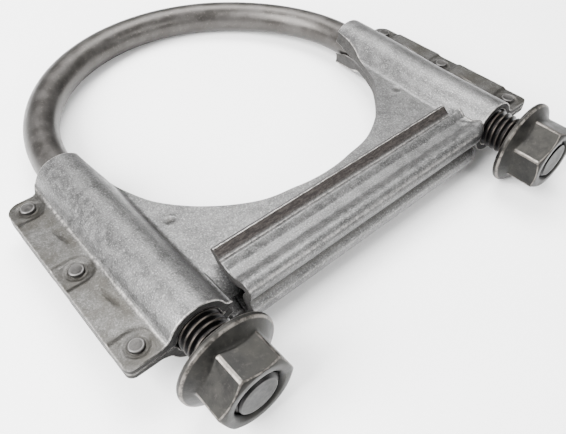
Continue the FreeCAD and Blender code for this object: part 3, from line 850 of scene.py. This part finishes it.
def coated_sheet_material():
    """Metallic-coated sheet: mottled grey, fine grain, browned flanges, bare cut edges and lip, painted
    highlights on the bar, and painted shade in the bar's groove, under its lobe and at the rivet feet.
    """
    s = Shader("coated_sheet", 0.78)
    patches = s.spread(s.noise(9.0, 3.0), 0.36, 0.66)
    mottle = s.spread(s.noise(2.2, 5.0, 0.65), 0.35, 0.68)
    grain = s.noise(0.42, 3.0, 0.7)
    colour = s.mix(patches, grey(0.060, 0.01), grey(0.094, 0.01))
    colour = s.mix(s.math("MULTIPLY", mottle, 0.5), colour, grey(0.145, 0.01))
    colour = s.mix(s.math("MULTIPLY", s.spread(grain, 0.52, 0.70), 0.6), colour, grey(0.30, 0.01))
    pits = s.spread(grain, 0.32, 0.48, 1.0, 0.0)
    colour = s.mix(s.math("MULTIPLY", pits, 0.7), colour, grey(0.026, 0.01))
    side = s.math("ABSOLUTE", s.axis("X"), 0.0)
    flange = s.spread(side, 0.0640, 0.0668)
    stain = s.spread(s.noise(6.0, 4.0, 0.6), 0.30, 0.70, 0.45, 1.0)
    browned = s.math("MULTIPLY", s.math("MULTIPLY", flange, stain), 0.9)
    colour = s.mix(browned, colour, (0.032, 0.029, 0.023, 1))
    shear, lip, edge = s.layer("shear"), s.layer("lip"), s.layer("edge")
    # darker where the last layer says: soiling in dishes and dents, and painted shade on the bar and at
    # the rivet feet
    colour = s.mix(s.math("MULTIPLY", s.layer("grime_and_shade"), 0.85), colour, (0.015, 0.0135, 0.011, 1))
    streaks = s.noise(0.5, 5.0, 0.7, s.stretched((0.25, 1.0, 1.0)))
    bare = s.mix(s.spread(streaks, 0.4, 0.65), (0.007, 0.0065, 0.006, 1), (0.024, 0.022, 0.020, 1))
    colour = s.mix(shear, colour, bare)
    lip_colour = s.mix(s.spread(streaks, 0.38, 0.66), (0.014, 0.011, 0.010, 1), (0.050, 0.042, 0.038, 1))
    colour = s.mix(s.math("MULTIPLY", lip, 0.9), colour, lip_colour)
    # bright worn cut edges, and the bar's painted highlights carried in the same edge layer
    rim = s.spread(edge, 0.02, 0.5, 1.0, 0.0)
    bright = s.math("MULTIPLY", rim, s.math("SUBTRACT", 1.0, shear))
    bright = s.math("MULTIPLY", bright, s.spread(s.noise(1.1, 6.0, 0.75), 0.38, 0.62, 0.12, 1.0))
    bright = s.math("MULTIPLY", bright, s.math("SUBTRACT", 1.0, s.math("MULTIPLY", flange, 0.6)))
    colour = s.mix(s.math("MULTIPLY", bright, 0.85), colour, grey(0.50, 0.05))
    rough = s.spread(mottle, 0.0, 1.0, 0.36, 0.50)
    cut = s.math("MAXIMUM", s.math("MULTIPLY", shear, 3.0), lip)
    rough = s.math("ADD", rough, s.math("MULTIPLY", cut, 0.14))
    s.link(s.math("SUBTRACT", 0.78, s.math("MULTIPLY", shear, 0.72)), s.surface.inputs["Metallic"])
    normal = s.bump(grain, 0.75, 0.09)
    normal = s.bump(s.noise(1.3, 4.0, 0.6), 0.35, 0.12, normal)
    normal = s.bump(s.math("MULTIPLY", streaks, s.math("MAXIMUM", shear, lip)), 0.6, 0.16, normal)
    return s.finish(colour, rough, normal)


def rod_material():
    """Warm dark drawn steel, with darker oiled threads whose roots are near black as oil and painted
    shade, bright crests and a cropped end.
    """
    s = Shader("rod_steel", 0.85)
    patches = s.spread(s.noise(7.0, 4.0, 0.6), 0.35, 0.65)
    specks = s.spread(s.noise(0.9, 4.0, 0.75), 0.55, 0.70)
    grain = s.noise(0.3, 3.0, 0.7)
    colour = s.mix(patches, (0.043, 0.040, 0.037, 1), (0.064, 0.060, 0.057, 1))
    colour = s.mix(s.math("MULTIPLY", specks, 0.45), colour, (0.14, 0.127, 0.115, 1))
    crest, threaded, end_face = s.layer("crest"), s.layer("threaded"), s.layer("end_face")
    # thread roots near black: dark oil and painted shade
    oiled_root_and_shade = s.mix(s.spread(grain, 0.4, 0.7), (0.004, 0.004, 0.004, 1), (0.011, 0.010, 0.010, 1))
    rubs = s.spread(s.noise(2.5, 3.0), 0.40, 0.60, 0.25, 1.0)
    worn = s.math("MULTIPLY", s.spread(crest, 0.80, 0.97), rubs)
    thread = s.mix(worn, oiled_root_and_shade, (0.040, 0.034, 0.029, 1))
    colour = s.mix(threaded, colour, thread)
    tears = s.spread(s.noise(1.2, 5.0, 0.7), 0.35, 0.68)
    cropped = s.mix(tears, (0.016, 0.016, 0.016, 1), (0.036, 0.0355, 0.0345, 1))
    colour = s.mix(end_face, colour, cropped)
    rough = s.spread(patches, 0.0, 1.0, 0.36, 0.46)
    rough = s.math("ADD", rough, s.math("MULTIPLY", end_face, 0.12))
    normal = s.bump(grain, 0.25, 0.04)
    normal = s.bump(s.noise(1.6, 4.0, 0.65), 0.25, 0.09, normal)
    return s.finish(colour, rough, normal)


def nut_material():
    """Dark phosphate with a brown cast, rubbed bright along the edges, with painted shade in the bore."""
    s = Shader("nut_steel", 0.9)
    patches = s.spread(s.noise(6.0, 4.0, 0.6), 0.34, 0.66)
    grain = s.noise(0.35, 3.0, 0.7)
    colour = s.mix(patches, (0.010, 0.0098, 0.0093, 1), (0.023, 0.0222, 0.020, 1))
    specks = s.spread(s.noise(1.1, 5.0, 0.7), 0.52, 0.72)
    colour = s.mix(s.math("MULTIPLY", specks, 0.45), colour, (0.042, 0.038, 0.034, 1))
    worn = s.spread(s.layer("worn"), 0.45, 0.95)
    rubbed = s.math("MULTIPLY", worn, s.spread(s.noise(1.8, 4.0, 0.6), 0.38, 0.58, 0.2, 1.0))
    colour = s.mix(s.math("MULTIPLY", rubbed, 0.8), colour, (0.17, 0.155, 0.14, 1))
    # painted shade: the bore is drawn near black
    colour = s.mix(s.layer("painted_bore_shade"), colour, (0.003, 0.003, 0.003, 1))
    rough = s.spread(patches, 0.0, 1.0, 0.40, 0.52)
    normal = s.bump(grain, 0.28, 0.05)
    normal = s.bump(s.noise(1.5, 4.0, 0.65), 0.30, 0.10, normal)
    return s.finish(colour, rough, normal)


def rivet_material():
    """Dull steel button, rubbed at its shoulder; the painted shade round its foot is drawn on the flange.
    """
    s = Shader("rivet_steel", 0.75)
    patches = s.spread(s.noise(2.0, 5.0, 0.65), 0.36, 0.66)
    colour = s.mix(patches, grey(0.022, 0.05), grey(0.052, 0.05))
    colour = s.mix(s.math("MULTIPLY", s.spread(s.layer("worn"), 0.4, 0.95), 0.6), colour, grey(0.12, 0.03))
    rough = s.spread(patches, 0.0, 1.0, 0.38, 0.52)
    return s.finish(colour, rough, s.bump(s.noise(0.5, 4.0, 0.65), 0.35, 0.07))


# ---------------------------------------------------------------- floor, light and camera

TARGET = Vector((-18.69, -54.43, 0.0)) * MM
AZIMUTH = math.radians(-41.35)
ELEVATION = math.radians(46.44)
ROLL_ANGLE = math.radians(0.23)
DISTANCE = 156.15 * MM
LENS_MM = 36.74


def build_floor():
    """Pale plane under the clamp, which leans on its nut flanges and on the bend."""
    front_y, front_z = -NUT_BEARING - 1.0, -NUT_FLANGE_R
    rear_y, rear_z = LEG_X, -ROD_R
    tilt = math.atan2(rear_z - front_z, rear_y - front_y)
    half = 1500.0
    rows = [-half, half]
    points = [(x, y, front_z + (y - front_y) * math.tan(tilt) - 0.05) for y in rows for x in rows]
    floor = make_object("floor", points, [(0, 1, 3, 2)], smooth=False)
    s = Shader("floor_card", 0.0)
    s.surface.inputs["Specular IOR Level"].default_value = 0.15
    fibres = s.spread(s.noise(0.9, 4.0), 0.3, 0.7)
    colour = s.mix(fibres, grey(0.955), grey(0.975))
    floor.data.materials.append(s.finish(colour, 0.9, s.bump(fibres, 0.03, 0.05)))


def add_area(name, place, aim, size, power):
    """Soft square light at place, pointing at aim; places in mm."""
    light = bpy.data.lights.new(name, "AREA")
    light.shape = "RECTANGLE"
    light.size, light.size_y = size[0] * MM, size[1] * MM
    light.energy = power
    obj = bpy.data.objects.new(name, light)
    obj.location = Vector(place) * MM
    obj.rotation_euler = (Vector(aim) - Vector(place)).to_track_quat("-Z", "Y").to_euler()
    bpy.context.scene.collection.objects.link(obj)


def build_light():
    world = bpy.data.worlds.new("studio")
    bpy.context.scene.world = world
    world.use_nodes = True
    tree = world.node_tree
    back = tree.nodes["Background"]
    back.inputs["Strength"].default_value = 1.0
    coords = tree.nodes.new("ShaderNodeTexCoord")
    split = tree.nodes.new("ShaderNodeSeparateXYZ")
    ramp = tree.nodes.new("ShaderNodeValToRGB")
    tree.links.new(coords.outputs["Generated"], split.inputs[0])
    tree.links.new(split.outputs["Z"], ramp.inputs["Fac"])
    tree.links.new(ramp.outputs["Color"], back.inputs["Color"])
    ramp.color_ramp.elements[0].position = 0.0
    ramp.color_ramp.elements[0].color = grey(0.22)
    ramp.color_ramp.elements[1].position = 0.8
    ramp.color_ramp.elements[1].color = grey(0.9)
    add_area("left_key", (-540, 20, 430), (0, -30, 0), (400, 560), 24.0)
    add_area("top_box", (160, 200, 620), (0, -20, 0), (520, 360), 11.0)
    add_area("front_fill", (160, -640, 340), (0, -50, 0), (480, 220), 3.5)


def build_camera():
    camera = bpy.data.cameras.new("photo_camera")
    camera.lens = LENS_MM
    camera.sensor_width = 36.0
    camera.clip_start = 0.005
    camera.shift_x = -0.001
    camera.shift_y = -0.0037
    obj = bpy.data.objects.new("photo_camera", camera)
    level = math.cos(ELEVATION)
    away = Vector((level * math.sin(AZIMUTH), -level * math.cos(AZIMUTH), math.sin(ELEVATION)))
    turn = (-away).to_track_quat("-Z", "Y").to_matrix().to_4x4()
    place = Matrix.Translation(TARGET + away * DISTANCE)
    obj.matrix_world = place @ turn @ Matrix.Rotation(ROLL_ANGLE, 4, "Z")
    bpy.context.scene.collection.objects.link(obj)
    bpy.context.scene.camera = obj


# ---------------------------------------------------------------- assembly

NUT_TURNS = {"nut_left": 52.0, "nut_right": 38.0}

build_camera()
build_light()
build_floor()
build_rod().data.materials.append(rod_material())
sheet_steel = coated_sheet_material()
for stamping in build_saddle():
    stamping.data.materials.append(sheet_steel)
nut_steel = nut_material()
for nut, turn_degrees in NUT_TURNS.items():
    build_nut(nut, turn_degrees).data.materials.append(nut_steel)
rivet_steel = rivet_material()
for rivet, rivet_centre in sorted(RIVETS.items()):
    build_rivet(rivet, rivet_centre).data.materials.append(rivet_steel)
